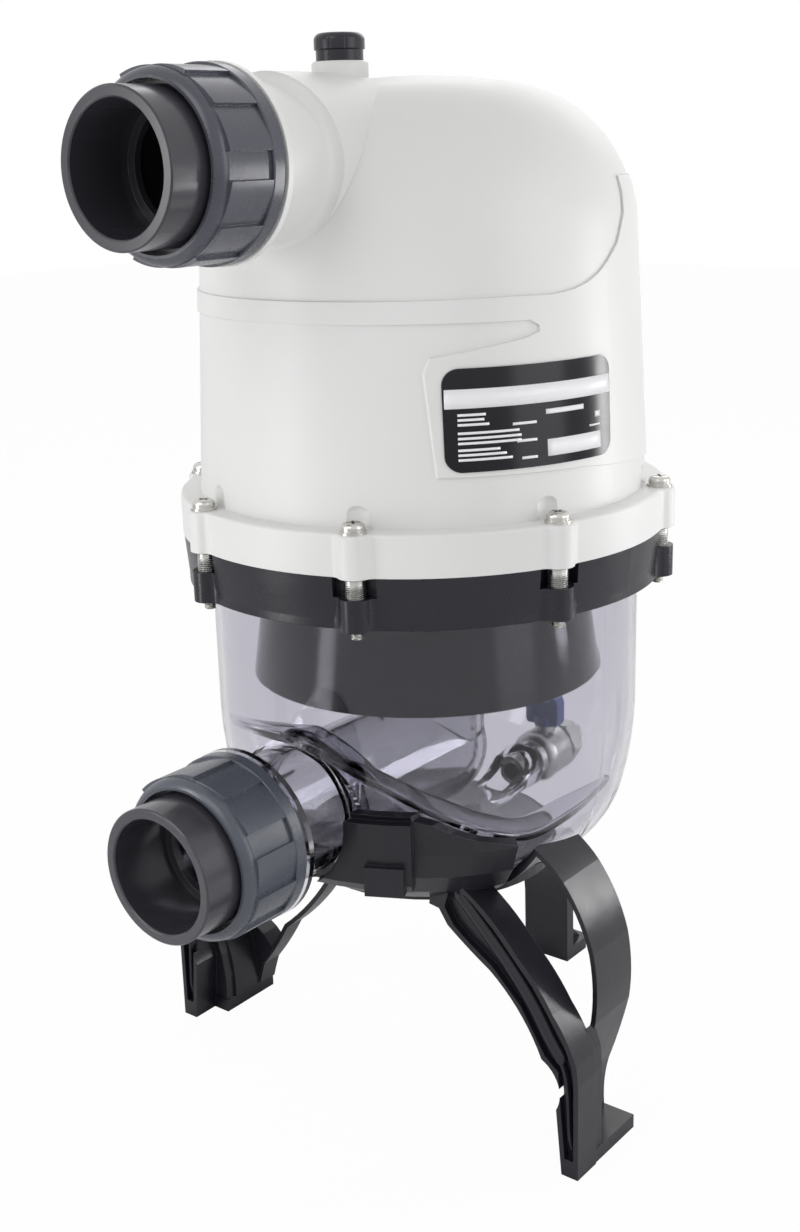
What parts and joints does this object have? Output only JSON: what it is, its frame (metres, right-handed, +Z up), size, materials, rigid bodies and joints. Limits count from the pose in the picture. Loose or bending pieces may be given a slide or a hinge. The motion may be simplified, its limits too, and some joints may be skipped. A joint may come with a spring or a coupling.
{
  "type": "cyclone filter",
  "caption": "Standing cyclone filter: white domed head clamped over a clear bowl, union sockets at the side for inlet and outlet, drain valve at the back, black three-legged stand.",
  "frame": {"origin": "on the floor, under the axis of the round body", "axes": "+Z up along the body axis; both pipe sockets open towards -Y; the drain valve is at +Y; +X is to the right when seen from the sockets' side"},
  "size_m": [0.316, 0.415, 0.6258],
  "materials": {
    "head": "satin",
    "label": "satin",
    "black_plastic": "satin",
    "gloss_black": "gloss",
    "stand_black": "matte",
    "seal": "matte",
    "steel": "satin",
    "clear": "clear",
    "clear_inner": "clear",
    "inner_plastic": "satin",
    "slate": "satin",
    "blue_grey": "satin",
    "charcoal": "satin",
    "nickel": "satin, nickel plated",
    "chrome": "polished",
    "seat": "matte",
    "blue": "satin"
  },
  "bodies": {
    "housing": {"head": "head", "label_plate": "label", "bleed_plug": "black_plastic", "bleed_seal": "seal", "clamp_ring": "black_plastic", "clamp_screws": "steel", "clamp_washers": "steel", "clamp_inserts": "steel", "head_seal": "seal", "bowl_seal": "seal", "bowl": "clear", "inlet_elbow": "clear_inner", "skirt": "gloss_black", "cyclone_block": "inner_plastic", "vortex_plate": "inner_plastic", "plate_screws": "steel", "upper_union_nut": "slate", "upper_union_tail": "charcoal", "upper_union_seal": "seal", "lower_union_nut": "blue_grey", "lower_union_tail": "charcoal", "lower_union_seal": "seal", "drain_nipple": "nickel", "valve_body": "nickel", "valve_end": "nickel", "valve_seats": "seat", "stand": "stand_black", "stand_screws": "steel"},
    "valve_turn": {"valve_ball": "chrome", "valve_stem": "nickel", "valve_handle": "blue", "handle_nut": "steel"}
  },
  "joints": [
    {"name": "drain_handle_turn", "type": "hinge", "parent": "housing", "child": "valve_turn", "pos_m": [0, 0.138, 0.157], "axis": [0, 0, 1], "range_deg": [0, 90]}
  ]
}
